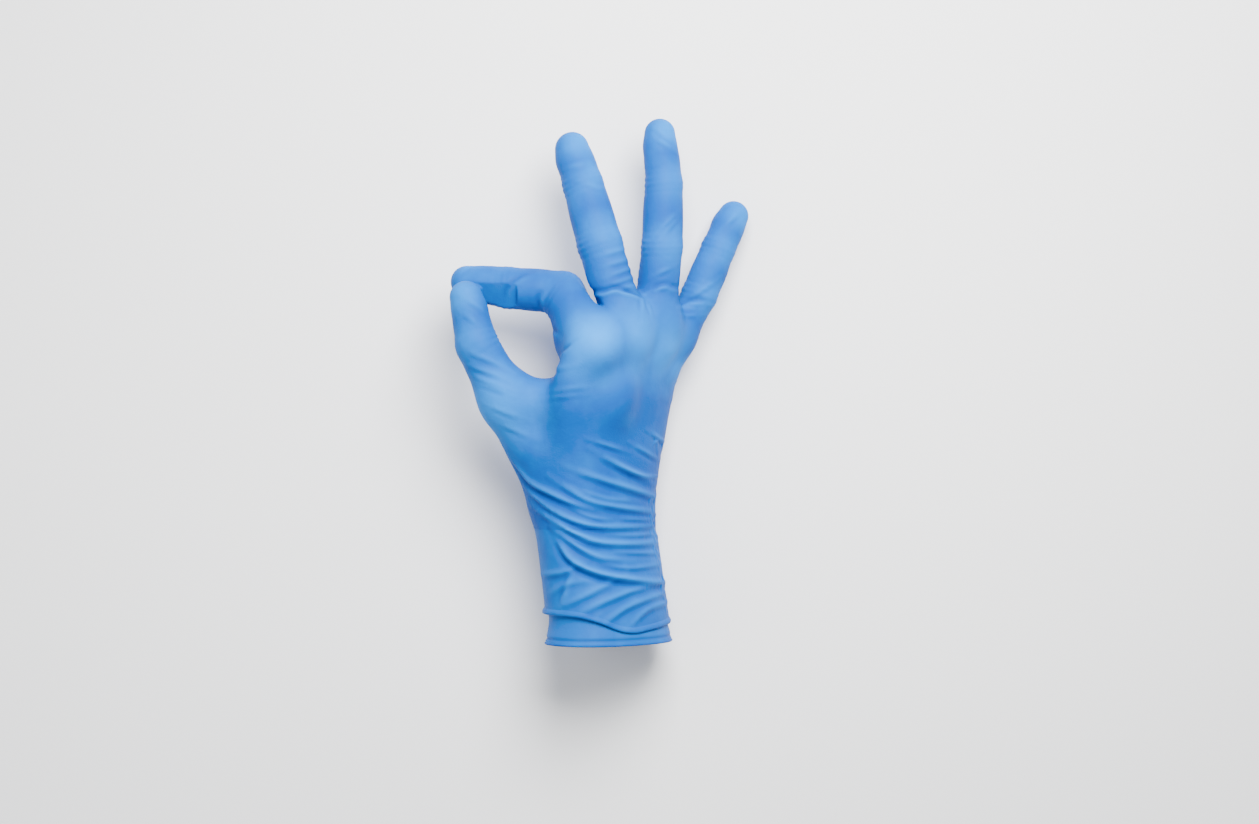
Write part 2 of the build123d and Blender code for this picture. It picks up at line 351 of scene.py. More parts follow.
@dataclass
class HandField:
    """The whole hand as one field: an oval palm, a row of knuckles, thumb root, web and stalls.

    Points are given with y from the cuff's edge.

    Args:
        wrist: ovals from the cuff to the knuckles.
        thumb_root: the fat end of the thumb's root.
        thumb_root_radius: its radius there.
        web_root: the palm's end of the web between thumb and forefinger.
        web_end: its free end.
        side_root: the palm's end of the fill beside the forefinger's knuckle.
        side_end: its other end.
        side_radius: its radius.
        index_bulk: ends of the fuller first section of the bent forefinger.
        index_bulk_radii: its radius at each end.
        web_softness: how softly neighbouring stalls run together.
        palm_softness: how softly the stalls run into the palm.
        slit: width that parts the forefinger from the middle finger.
        knuckle_row: middles of the knuckles, forefinger first.
        knuckle_row_radii: their radii.
    """

    wrist: list[Station] = field(default_factory=lambda: [
        Station(-6, 4.0, 30.4, 31.6, 22.4),
        Station(8, 3.6, 30.2, 30.6, 21.8),
        Station(32, 0.8, 29.0, 30.2, 21.4),
        Station(54, -2.0, 28.0, 30.6, 21.4),
        Station(74, 0.5, 29.0, 31.0, 18.8),
        Station(92, 3.2, 30.8, 34.0, 16.6),
        Station(112, 6.4, 34.0, 36.4, 14.6),
        Station(124, 9.4, 35.2, 36.2, 13.4),
        Station(138, 13.0, 36.0, 34.6, 11.4),
    ])
    thumb_root: tuple[float, ...] = (-18.5, 68, 35)
    thumb_root_radius: float = 13.6
    web_root: tuple[float, ...] = (2, 104, 46)
    web_end: tuple[float, ...] = (-34, 106.5, 43.5)
    side_root: tuple[float, ...] = (3, 112, 45)
    side_end: tuple[float, ...] = (-8.5, 130, 43.5)
    side_radius: float = 10.8
    index_bulk: tuple[tuple[float, ...], ...] = ((1.0, 131.5, 49.5), (-14, 147.5, 39.5))
    index_bulk_radii: tuple[float, float] = (10.6, 8.9)
    web_softness: float = 3.6
    palm_softness: float = 8.0
    slit: float = 2.3
    knuckle_row: tuple[tuple[float, ...], ...] = (
        (5.5, 133, 48.5), (13.0, 138.5, 39.5), (25.5, 138.5, 28.5), (33.0, 132.5, 18.5),
    )
    knuckle_row_radii: tuple[float, ...] = (9.4, 9.2, 8.6, 7.0)

    def __post_init__(self) -> None:
        """Make the five stalls and the palm's oval tube."""
        tip = {f: up_from_cuff(*p) for f, p in TIPS.items()}
        self.stalls = [
            Stall(Finger.THUMB, tip[Finger.THUMB], (10.4, 9.1, 7.1), pad=0.4, bulge=0.1,
                  open_angle=24),
            Stall(Finger.INDEX, tip[Finger.INDEX], (9.2, 9.1, 8.9, 7.3), pad=0.3),
            Stall(Finger.MIDDLE, tip[Finger.MIDDLE], (9.2, 9.7, 8.7, 7.4)),
            Stall(Finger.RING, tip[Finger.RING], (8.8, 8.8, 8.1, 6.7)),
            Stall(Finger.LITTLE, tip[Finger.LITTLE], (6.6, 7.8, 7.4, 6.7),
                  root_shift=(-3.8, 0, 2.2)),
        ]
        self.oval = Oval(self.wrist)

    def stall(self, finger: Finger) -> Stall:
        """The stall of one finger."""
        return next(s for s in self.stalls if s.finger is finger)

    def palm(self, p: Array) -> Array:
        """The palm: the oval tube, closed by a plane at the knuckles, and rounded tapers on it.

        The tapers are the row of knuckles, the thumb's root, the web and the fill beside the
        forefinger, each joined by a smooth_min of its own softness.

        Args:
            p: points.

        Returns:
            Values below 0 inside the palm.
        """
        end = p[..., 1] - (CUFF_EDGE_Y + 137)
        tube = -smooth_min(-self.oval.field(p), -end, 16)
        row = [up_from_cuff(*q) for q in self.knuckle_row]
        for i in range(len(row) - 1):
            bar = taper(p, row[i], row[i + 1], *self.knuckle_row_radii[i:i + 2])
            tube = smooth_min(tube, bar, 7)
        thumb = self.stall(Finger.THUMB)
        root = taper(p, up_from_cuff(*self.thumb_root), thumb.points[0],
                     self.thumb_root_radius, thumb.radii[0])
        web = taper(p, up_from_cuff(*self.web_root), up_from_cuff(*self.web_end), 10.5, 8.2)
        side = taper(p, up_from_cuff(*self.side_root), up_from_cuff(*self.side_end),
                     self.side_radius, self.side_radius)
        return smooth_min(smooth_min(smooth_min(tube, root, 12), web, 9), side, 7)

    def fingers(self, p: Array) -> Array:
        """The stalls, the forefinger's with its fuller first section, webbed where they come close.

        The bent forefinger lies against the middle finger, and a slit parts them past its
        knuckle: (width - |difference of the two fields|) / 2, taken off the joined field.

        Args:
            p: points.

        Returns:
            Values below 0 inside a stall.
        """
        out = None
        for s in self.stalls:
            d = s.field(p)
            if s.finger is Finger.INDEX:
                low, high = (up_from_cuff(*q) for q in self.index_bulk)
                d = smooth_min(d, taper(p, low, high, *self.index_bulk_radii), 5)
            if out is None:
                out = d
                continue
            joined = smooth_min(out, d, self.web_softness)
            if s.finger is Finger.MIDDLE:
                index = self.stall(Finger.INDEX)
                ahead = (p - index.points[0]) @ index.direction(0)
                slit = np.minimum((self.slit - abs(out - d)) / 2, ahead - 10)
                joined = -smooth_min(-joined, -slit, 1.0)
            out = joined
        return out

    def __call__(self, p: Array) -> Array:
        """Below 0 inside the glove, 0 on its film."""
        return smooth_min(self.palm(p), self.fingers(p), self.palm_softness)

    def gradient(self, p: Array, step: float = 0.05) -> Array:
        """The field's slope: (f(p + step) - f(p - step)) / 2 step on each axis.

        Args:
            p: points.
            step: half the span of each difference, in mm.

        Returns:
            The slope at each point.
        """
        out = np.empty_like(p)
        for axis in range(3):
            shift = np.zeros(3)
            shift[axis] = step
            out[..., axis] = (self(p + shift) - self(p - shift)) / (2 * step)
        return out

    def settle(self, p: Array, rounds: int = 2) -> Array:
        """Points moved onto the film: p - f g / |g|^2, where g is the slope, a few times.

        Args:
            p: points near the film.
            rounds: how many times.

        Returns:
            The points, moved by LONGEST_STEP at most each time.
        """
        for _ in range(rounds):
            g = self.gradient(p)
            step = g * (self(p) / np.maximum((g * g).sum(-1), 1e-2))[:, None]
            length = np.linalg.norm(step, axis=-1, keepdims=True)
            p = p - step * np.minimum(1, LONGEST_STEP / np.maximum(length, 1e-6))
        return p


# Middles of the round ends, y from the cuff's edge
TIPS = {
    Finger.THUMB: (-57.6, 150.0, 44.4),
    Finger.INDEX: (-57.8, 157.0, 32.0),
    Finger.MIDDLE: (-12.3, 215.2, 31.0),
    Finger.RING: (26.0, 222.0, 27.0),
    Finger.LITTLE: (58.9, 187.4, 9.5),
}


# --------------------------------------------------------------------------------------------
# Meshes of a field


def surface_net(values: Array, low: Array, step: float) -> tuple[Array, Array]:
    """The zero surface of a grid of values, as points and quads.

    Each cell that the surface crosses gets one point, the mean of the crossings on its 12
    edges. Each grid edge that the surface crosses joins its 4 cells' points in a quad.

    Args:
        values: the field on the grid.
        low: the grid's first corner.
        step: the grid's spacing.

    Returns:
        Points, and quads that face outwards.
    """
    inside = values < 0
    nx, ny, nz = (n - 1 for n in values.shape)
    corners = [(i, j, k) for i in (0, 1) for j in (0, 1) for k in (0, 1)]
    count = np.zeros((nx, ny, nz), np.int8)
    for i, j, k in corners:
        count += inside[i:i + nx, j:j + ny, k:k + nz]
    cells = np.argwhere((count > 0) & (count < 8))
    total, crossings = np.zeros((len(cells), 3)), np.zeros(len(cells))
    for a in corners:
        for b in corners:
            if sum(b) - sum(a) == 1 and sum(abs(m - n) for m, n in zip(a, b)) == 1:
                ia, ib = cells + a, cells + b
                va, vb = values[tuple(ia.T)], values[tuple(ib.T)]
                crossed = (va < 0) != (vb < 0)
                t = np.where(crossed, va / np.where(crossed, va - vb, 1), 0)[:, None]
                total += np.where(crossed[:, None], ia + t * (ib - ia), 0)
                crossings += crossed
    points = low + step * total / crossings[:, None]
    index = np.full((nx, ny, nz), -1, np.int64)
    index[tuple(cells.T)] = np.arange(len(cells))
    quads = []
    for axis in range(3):
        one, two = (axis + 1) % 3, (axis + 2) % 3
        near = np.moveaxis(inside, (axis, one, two), (0, 1, 2))
        cell = np.moveaxis(index, (axis, one, two), (0, 1, 2))
        edge = near[:-1, 1:-1, 1:-1] != near[1:, 1:-1, 1:-1]
        i, j, k = np.nonzero(edge)
        quad = np.stack([cell[i, j, k], cell[i, j + 1, k],
                         cell[i, j + 1, k + 1], cell[i, j, k + 1]], 1)
        outward = near[:-1, 1:-1, 1:-1][i, j, k]
        quads.append(np.where(outward[:, None], quad, quad[:, ::-1]))
    return points, np.vstack(quads)


def subdivide(points: Array, quads: Array) -> tuple[Array, Array]:
    """Each quad cut into 4, with new points at the middles of its edges and at its centre.

    Args:
        points: the mesh's points.
        quads: its quads.

    Returns:
        The finer mesh's points and quads.
    """
    n = len(points)
    edges = np.stack([quads, np.roll(quads, -1, axis=1)], axis=-1).reshape(-1, 2)
    pairs, where = np.unique(np.sort(edges, axis=1), axis=0, return_inverse=True)
    middle = where.reshape(-1, 4) + n
    centre = np.arange(len(quads)) + n + len(pairs)
    new = np.vstack([points, points[pairs].mean(axis=1), points[quads].mean(axis=1)])
    parts = [
        np.stack([quads[:, i], middle[:, i], centre, middle[:, i - 1]], axis=1) for i in range(4)
    ]
    return new, np.vstack(parts)


def vertex_normals(points: Array, quads: Array) -> Array:
    """The mean of the quads' normals at each point, from the cross of their diagonals.

    Args:
        points: the mesh's points.
        quads: its quads.

    Returns:
        A normal for each point.
    """
    a, b, c, d = (points[quads[:, i]] for i in range(4))
    face = np.cross(c - a, d - b)
    out = np.zeros_like(points)
    for corner in range(4):
        for axis in range(3):
            out[:, axis] += np.bincount(quads[:, corner], face[:, axis], len(points))
    return unit(out)


# --------------------------------------------------------------------------------------------
# Folds


class Side(Enum):
    """Which side of the glove a fold is laid on."""

    TOP = 1
    UNDER = -1


@dataclass(frozen=True)
class Fold:
    """A fold in the film: a crest along a line, with a furrow on one side of it.

    Args:
        line: points x, y as seen from above, y from the cuff's edge.
        height: of the crest. Below 0 makes a furrow.
        width: of the crest, across.
        furrow: depth of the furrow beside it, as a share of the height.
        side: the side of the glove that it lies on.
    """

    line: tuple[tuple[float, float], ...]
    height: float
    width: float
    furrow: float = 0.8
    side: Side = Side.TOP


def smooth_line(points: Array, count: int) -> Array:
    """A Catmull-Rom curve through the points, sampled evenly in its parameter.

    Args:
        points: what it passes through.
        count: how many samples.

    Returns:
        The samples.
    """
    padded = np.vstack([2 * points[0] - points[1], points, 2 * points[-1] - points[-2]])
    t = np.linspace(0, len(points) - 1, count)
    i = np.clip(t.astype(int), 0, len(points) - 2)
    u = (t - i)[:, None]
    p0, p1, p2, p3 = padded[i], padded[i + 1], padded[i + 2], padded[i + 3]
    return 0.5 * (2 * p1 + (p2 - p0) * u + (2 * p0 - 5 * p1 + 4 * p2 - p3) * u**2
                  + (3 * (p1 - p2) + p3 - p0) * u**3)


@dataclass
class FoldedFilm:
    """Moves film along its normals by a list of folds, creases and a fine unevenness.

    Each fold's line is dropped onto the film from above or from below.

    Args:
        shape: the film's field.
        folds: the folds.
        seed: of the unevenness.
        uneven: its height in mm.
    """

    shape: HandField
    folds: list[Fold]
    seed: int = 7
    uneven: float = 0.12

    def __post_init__(self) -> None:
        """Drop the lines, and draw the unevenness's directions and phases."""
        self.lines = [self.drop(f) for f in self.folds]
        rng = np.random.default_rng(self.seed)
        self.waves = unit(rng.normal(size=(14, 3))) * rng.uniform(0.12, 0.55, (14, 1))
        self.phases = rng.uniform(0, 2 * math.pi, 14)

    def drop(self, fold: Fold) -> Array:
        """The fold's line on the film, found by stepping down or up by the field's value.

        Past the silhouette the line goes on around the side, at the glove's middle height.

        Args:
            fold: the fold.

        Returns:
            Points on the film.
        """
        xy = smooth_line(np.array(fold.line, float), 8 * len(fold.line))
        start = 90.0 if fold.side is Side.TOP else -20.0
        p = np.stack([xy[:, 0], xy[:, 1] + CUFF_EDGE_Y, np.full(len(xy), start)], axis=-1)
        for _ in range(90):
            p[:, 2] -= fold.side.value * np.clip(self.shape(p), -2, 8) * 0.8
        grazing = self.shape(p) > 1.0
        if grazing.any():
            side = np.column_stack([p[grazing, :2], np.full(grazing.sum(), MIDDLE_HEIGHT)])
            p[grazing] = self.shape.settle(side, rounds=12)
        return p

    def lift(self, p: Array, n: Array) -> tuple[Array, Array]:
        """How far each point moves along its normal, and the painted highlight and painted shade that
        the fold gets.

        Across a fold the height is exp(-(s/w)^2), less the furrow's exp(-((s + 1.5w)/w)^2),
        where s is the signed distance from the crest. Along it, it fades at both ends.

        Args:
            p: points of the film.
            n: their normals.

        Returns:
            The lift in mm, and a painted light value from -1, painted shade in furrows, to 1, painted
            highlight on crests.
        """
        lift, painted_shade_and_highlight = np.zeros(len(p)), np.zeros(len(p))
        for fold, line in zip(self.folds, self.lines):
            reach = 5 * fold.width
            near = np.nonzero(
                ((p > line.min(0) - reach) & (p < line.max(0) + reach)).all(axis=1)
            )[0]
            if not len(near):
                continue
            q = p[near]
            gap = q[:, None, :] - line[None]
            which = (gap**2).sum(-1).argmin(1)
            tangent = unit(np.gradient(line, axis=0))[which]
            across = gap[np.arange(len(q)), which]
            across = across - tangent * (across * tangent).sum(-1, keepdims=True)
            sign_axis = np.cross(n[near], tangent)
            side = np.sign((across * sign_axis).sum(-1))
            s = np.linalg.norm(across, axis=-1) * side
            ends = np.sin(math.pi * np.clip((which + 0.5) / len(line), 0, 1)) ** 0.6
            beyond = np.linalg.norm(gap[np.arange(len(q)), which], axis=-1)
            fade = ends * (beyond < reach)
            w = fold.width
            crest = np.exp(-((s / w) ** 2))
            furrow = np.exp(-(((s + 1.5 * w) / w) ** 2))
            shape = (crest - fold.furrow * furrow) * fade
            lift[near] += fold.height * shape
            # painted shade in the furrow and painted highlight on the crest, for the finish
            painted_shade_and_highlight[near] += np.sign(fold.height) * shape * min(abs(fold.height), 1.2)
        return lift, painted_shade_and_highlight

    def unevenness(self, p: Array) -> Array:
        """A low, slow waviness in mm: a sum of sines along seeded directions."""
        return self.uneven * (np.sin(p @ self.waves.T + self.phases).sum(-1) / 5)


def wrist_folds() -> list[Fold]:
    """The sweeps of bunched film over the wrist and the sleeve, as they lie on the upper side.

    Returns:
        The folds, the sweeps first.
    """
    sweep = [
        ((1, 82), (12, 75.5), (23, 70)),
        ((-10, 75.5), (3, 71), (16, 66.5), (25, 63)),
        ((-17, 70), (-6, 63.5), (7, 60), (25, 56.5)),
        ((-38, 80), (-30.5, 71), (-20.5, 65.5), (-9, 61), (3, 58.5)),
        ((-26, 62), (-13, 55), (1, 51.5), (25, 51)),
        ((-27.5, 59), (-16, 51.5), (-4.5, 46), (7.5, 44), (26, 43.5)),
        ((-23, 53.5), (-13, 46), (-1.5, 39), (10, 37)),
        ((-18, 46), (-12, 37.5), (-1.5, 32), (13, 28.5), (29, 26)),
    ]
    heights = [0.8, 0.9, 1.05, 1.0, 1.15, 1.2, 0.9, 1.6]
    folds = [Fold(line, h, 1.55) for line, h in zip(sweep, heights)]
    folds += [Fold(line, h, 1.2, 0.9) for line, h in (
        (((19, 149), (13, 150.6), (7, 152), (1, 150.8), (-5, 151)), 0.9),
        (((34, 153), (28, 154), (22.5, 152.5)), 0.55),
        (((46, 147.5), (40, 148), (35, 146.5)), 0.6),
    )]
    folds += [Fold(line, 0.5, 1.1) for line in (
        ((15, 86), (25, 80)), ((22, 91.5), (29, 86.5)), ((-2, 88), (10, 84)),
        ((8, 55), (25, 53.5)), ((5, 41), (26, 39)), ((-30, 66), (-24, 61)),
        ((-8, 67), (3, 63.5), (14, 62)), ((2, 48.5), (14, 47.5), (26, 47.5)),
        ((-14, 60.5), (-4, 56), (6, 54)), ((0, 36), (12, 33.5), (27, 34)),
        ((6, 78.5), (17, 73.5), (25, 72)), ((-22, 57), (-12, 50), (-4, 47)),
    )]
    folds += [Fold(line, h, 1.5, 0.7) for line, h in (
        (((-25, 30.5), (-16, 32), (-10, 35)), 0.6),
        (((-11.5, 32), (-14, 24), (-16, 17.5)), 0.55),
        (((-16, 17.5), (-4.5, 23), (7.5, 29)), 0.6),
        (((-9, 14.5), (3, 20), (16, 24.5), (28, 26)), 0.7),
        (((1, 10), (13, 17.5), (29, 22)), 0.7),
        (((13, 9), (20.5, 15.5), (30, 17.5)), 0.6),
        (((-22, 22), (-14, 27), (-4, 29)), 0.4),
    )]
    return folds


def finger_folds() -> list[Fold]:
    """The finer folds at the thumb's root, the knuckles, the creases and the tips.

    Returns:
        The folds, in groups of one height and width.
    """
    groups = [
        (0.42, 1.2, (
            ((-56, 125.5), (-48, 123), (-39, 119)), ((-55, 120), (-42, 115.5)),
            ((-53.5, 115.5), (-40, 111)), ((-52, 113), (-44, 110.5), (-40, 109)),
        )),
        (0.4, 1.15, (
            ((1.5, 168), (11.5, 171)), ((3, 163.5), (13, 166.5)), ((4.5, 159), (14.5, 163)),
            ((4.5, 155), (15, 159)), ((3, 152.5), (16, 155)),
        )),
        (0.36, 1.1, (
            ((18.5, 149.5), (18.5, 143)), ((20.5, 148), (22.5, 141.5)),
            ((26, 179.5), (33, 186.5)), ((27.5, 177.5), (33.5, 184.5)),
            ((24.5, 223.5), (31.5, 218.5)), ((25, 219), (31, 215)),
            ((55, 183), (60.5, 188)), ((39, 150.5), (50, 157.5)), ((35, 146), (42, 145.5)),
            ((36, 143), (42.5, 143)), ((24, 160), (31, 163)), ((24.5, 154), (31.5, 156)),
        )),
        (-0.5, 1.2, (
            ((-41.5, 149), (-40.5, 153.5), (-36, 158), (-31, 160.5)),
            ((-26, 145), (-27, 149), (-25, 153.5)),
            ((-20.5, 136), (-18, 134.5)), ((-16.5, 126), (-12, 129.5)),
        )),
        (0.3, 1.3, (
            ((-25, 118), (-12, 120)), ((-23, 109), (-4.5, 111.5)), ((-23, 106.5), (-9, 108)),
            ((-47, 103), (-34, 98)), ((-42, 95), (-30, 90)),
        )),
        (0.3, 1.2, (
            ((-60, 144), (-52, 142)), ((-60.5, 138), (-54, 135.5)), ((-53, 150), (-50, 143)),
            ((-62, 160), (-57, 164)), ((-14, 206), (-6, 208)), ((-6, 199), (1, 197)),
        )),
    ]
    return [Fold(line, h, w, 0.6) for h, w, lines in groups for line in lines]


def under_folds(seed: int = 11) -> list[Fold]:
    """Folds on the side that lies on the table, in the same manner as those above.

    Sweeps run across the wrist at even heights, each with a seeded lean and bow.

    Args:
        seed: of the leans, bows and heights.

    Returns:
        The sweeps, then the palm's lines.
    """
    rng = np.random.default_rng(seed)
    folds = []
    for y in np.linspace(14, 78, 13):
        lean, bow = rng.uniform(-7, 7), rng.uniform(-4, 4)
        left, right = rng.uniform(-27, -18), rng.uniform(14, 27)
        line = ((left, y - lean), ((left + right) / 2, y + bow), (right, y + lean))
        folds.append(Fold(line, rng.uniform(0.55, 1.1), 1.8, 0.8, Side.UNDER))
    palm_lines = (
        ((-12, 122), (6, 112), (30, 116)), ((-10, 113), (8, 103), (32, 104)),
        ((-26, 104), (-16, 92), (-18, 78)), ((12, 96), (26, 90)), ((10, 88), (27, 82)),
    )
    folds += [Fold(line, -0.7, 1.6, 0.5, Side.UNDER) for line in palm_lines]
    return folds


# --------------------------------------------------------------------------------------------
# Finishes


def linear(hex_colour: str) -> tuple[float, float, float, float]:
    """An sRGB hex colour as linear red, green, blue and alpha 1."""
    channels = [int(hex_colour[i:i + 2], 16) / 255 for i in (1, 3, 5)]
    return (*[c / 12.92 if c <= 0.04045 else ((c + 0.055) / 1.055) ** 2.4 for c in channels], 1.0)


def add_node(tree: bpy.types.NodeTree, kind: str, settings: dict | None = None,
             inputs: dict | None = None) -> bpy.types.Node:
    """Add a node, set its properties, and set or link its inputs.

    Args:
        tree: the material's node tree.
        kind: the node's type name.
        settings: properties to set.
        inputs: socket name or number to a value, or to another node's output socket.

    Returns:
        The node.
    """
    node = tree.nodes.new(kind)
    for name, value in (settings or {}).items():
        setattr(node, name, value)
    for name, value in (inputs or {}).items():
        if isinstance(value, bpy.types.NodeSocket):
            tree.links.new(value, node.inputs[name])
        else:
            node.inputs[name].default_value = value
    return node


@dataclass(frozen=True)
class DippedNitrile:
    """Nitrile rubber dipped on a former and chlorinated, which leaves it matte and evenly blue.

    Film pulled tight over knuckles and tips is paler, and there the paleness also stands in for a
    painted highlight; folds get painted shade in their furrows and painted highlight on their crests.

    Args:
        name: the material's name.
        film: colour of slack film.
        stretched_and_highlight: colour of film pulled tight, also used as the painted highlight on
            knuckles, tips and fold crests.
        furrow: painted shade colour in the furrows.
        grain: size of the fine stipple in mm, drawn coarser than the real 0.1 mm so it shows.
        grain_depth: strength of the stipple.
        roughness: of the surface, in its middle.
    """

    name: str
    film: str = "#004A9C"
    stretched_and_highlight: str = "#0086DE"
    furrow: str = "#00357F"
    grain: float = 0.55
    grain_depth: float = 0.5
    roughness: float = 0.46

    def build(self) -> bpy.types.Material:
        """Make the node material.

        Clouds 14 mm wide and the pull attribute choose between the slack and the taut colour, which
        over knuckles and tips is partly a painted highlight, and the fold attribute paints highlight
        on crests and shade in furrows.

        Returns:
            The material.
        """
        material = bpy.data.materials.new(self.name)
        material.use_nodes = True
        tree = material.node_tree
        tree.nodes.clear()
        place = add_node(tree, "ShaderNodeTexCoord").outputs["Object"]
        pull_and_highlight = add_node(tree, "ShaderNodeAttribute", {"attribute_name": "pull_and_highlight"}).outputs["Fac"]
        painted_shade_and_highlight = add_node(tree, "ShaderNodeAttribute", {"attribute_name": "fold"}).outputs["Fac"]
        cloud = add_node(tree, "ShaderNodeTexNoise", None,
                         {"Vector": place, "Scale": 1 / (14 * MM), "Detail": 3.0})
        paler = add_node(tree, "ShaderNodeMath", {"operation": "MULTIPLY_ADD", "use_clamp": True},
                         {0: cloud.outputs["Fac"], 1: 0.6, 2: -0.27})
        # the pull attribute paints the film paler over knuckles and tips, partly real paleness of
        # taut film and partly a painted highlight
        amount = add_node(tree, "ShaderNodeMath", {"operation": "ADD", "use_clamp": True},
                          {0: pull_and_highlight, 1: paler.outputs[0]})
        base = add_node(tree, "ShaderNodeMix", {"data_type": "RGBA"},
                        {0: amount.outputs[0], 6: linear(self.film), 7: linear(self.stretched_and_highlight)})
        # painted highlight: fold crests mixed towards the pale colour
        crest = add_node(tree, "ShaderNodeMapRange", None, {"Value": painted_shade_and_highlight, "From Min": 0.0,
                         "From Max": 1.1, "To Min": 0.0, "To Max": 0.55})
        lit = add_node(tree, "ShaderNodeMix", {"data_type": "RGBA"},
                       {0: crest.outputs[0], 6: base.outputs[2], 7: linear(self.stretched_and_highlight)})
        # painted shade: fold furrows mixed towards the dark furrow colour
        depth = add_node(tree, "ShaderNodeMapRange", None, {"Value": painted_shade_and_highlight, "From Min": 0.0,
                         "From Max": -0.8, "To Min": 0.0, "To Max": 0.75})
        colour = add_node(tree, "ShaderNodeMix", {"data_type": "RGBA"},
                          {0: depth.outputs[0], 6: lit.outputs[2], 7: linear(self.furrow)})
        stipple = add_node(tree, "ShaderNodeTexNoise", None, {"Vector": place,
                           "Scale": 1 / (self.grain * MM), "Detail": 2.0, "Roughness": 0.6})
        creases = add_node(tree, "ShaderNodeTexNoise", None, {"Vector": place,
                           "Scale": 1 / (3.2 * MM), "Detail": 4.0, "Distortion": 0.8})
        rough = add_node(tree, "ShaderNodeMapRange", None, {"Value": cloud.outputs["Fac"],
                         "To Min": self.roughness - 0.06, "To Max": self.roughness + 0.08})
        fine = add_node(tree, "ShaderNodeBump", None, {"Strength": self.grain_depth,
                        "Distance": 0.2 * MM, "Height": stipple.outputs["Fac"]})
        bump = add_node(tree, "ShaderNodeBump", None, {"Strength": 0.35, "Distance": 0.35 * MM,
                        "Height": creases.outputs["Fac"], "Normal": fine.outputs["Normal"]})
        shader = add_node(tree, "ShaderNodeBsdfPrincipled", None, {
            "Base Color": colour.outputs[2], "Roughness": rough.outputs[0],
            "Normal": bump.outputs["Normal"], "IOR": 1.5, "Specular IOR Level": 0.03})
        add_node(tree, "ShaderNodeOutputMaterial", None, {"Surface": shader.outputs["BSDF"]})
        return material


# --------------------------------------------------------------------------------------------
# Pieces


@dataclass
class Sheet:
    """A surface of film.

    Args:
        points: in mm.
        quads: four point numbers each, facing outwards.
        normals: one for each point.
        pull_and_highlight: how tightly the film is pulled there, which the finish paints paler,
            partly as a painted highlight over knuckles and tips.
        fold: painted shade in the folds' furrows and painted highlight on their crests, for the
            finish.
    """

    points: Array
    quads: Array
    normals: Array
    pull_and_highlight: Array
    fold: Array

    def piece(self, name: str, chosen: Array, material: bpy.types.Material, slot: str,
              wall: float = 0.25) -> bpy.types.Object:
        """Some of the quads as a closed skin: the film, its inside, and its cut edges.

        The inside is each point less its normal times the wall. Each edge that only one quad
        has gets a narrow quad between the two sides.

        Args:
            name: the piece's name.
            chosen: which quads.
            material: its finish.
            slot: not used.
            wall: the film's thickness in mm.

        Returns:
            The object, in metres, at the origin.
        """
        used, local = np.unique(self.quads[chosen], return_inverse=True)
        outer = local.reshape(-1, 4)
        n = len(used)
        edges = np.stack([outer, np.roll(outer, -1, axis=1)], axis=-1).reshape(-1, 2)
        key = np.sort(edges, axis=1) @ np.array([n, 1])
        _, first, count = np.unique(key, return_index=True, return_counts=True)
        rim = edges[first[count == 1]]
        faces = np.vstack([
            outer, outer[:, ::-1] + n,
            np.column_stack([rim[:, 1], rim[:, 0], rim[:, 0] + n, rim[:, 1] + n]),
        ])
        top, normal = self.points[used], self.normals[used]
        points = np.vstack([top, top - normal * wall])
        mesh = mesh_of(name, points, faces)
        mesh.normals_split_custom_set_from_vertices(np.vstack([normal, -normal]).tolist())
        # attributes for the finish: paleness of taut film that is partly a painted highlight, and
        # painted shade and highlight along the folds
        for attribute, values in (("pull_and_highlight", self.pull_and_highlight), ("fold", self.fold)):
            layer = mesh.attributes.new(attribute, "FLOAT", "POINT")
            layer.data.foreach_set("value", np.tile(values[used], 2).astype(np.float32))
        return object_of(name, mesh, material)


def mesh_of(name: str, points: Array, quads: Array) -> bpy.types.Mesh:
    """A smooth mesh.

    Args:
        name: the mesh's name.
        points: in mm.
        quads: four point numbers each.

    Returns:
        The mesh, in metres.
    """
    mesh = bpy.data.meshes.new(name)
    mesh.vertices.add(len(points))
    mesh.vertices.foreach_set("co", (points * MM).astype(np.float32).ravel())
    mesh.loops.add(4 * len(quads))
    mesh.loops.foreach_set("vertex_index", quads.astype(np.int32).ravel())
    mesh.polygons.add(len(quads))
    mesh.polygons.foreach_set("loop_start", np.arange(0, 4 * len(quads), 4, dtype=np.int32))
    mesh.update(calc_edges=True)
    mesh.validate()
    mesh.polygons.foreach_set("use_smooth", np.ones(len(mesh.polygons), bool))
    return mesh


def in_scene(name: str, data: bpy.types.ID) -> bpy.types.Object:
    """A new object for a mesh, a lamp or a camera, linked to the scene."""
    thing = bpy.data.objects.new(name, data)
    bpy.context.scene.collection.objects.link(thing)
    return thing


def object_of(name: str, mesh: bpy.types.Mesh, material: bpy.types.Material) -> bpy.types.Object:
    """A piece of the glove, reported in the log.

    Args:
        name: the piece's name.
        mesh: its mesh.
        material: its finish.

    Returns:
        The object.
    """
    thing = in_scene(name, mesh)
    mesh.materials.append(material)
    log.info("%s: %d faces", name, len(mesh.polygons))
    return thing


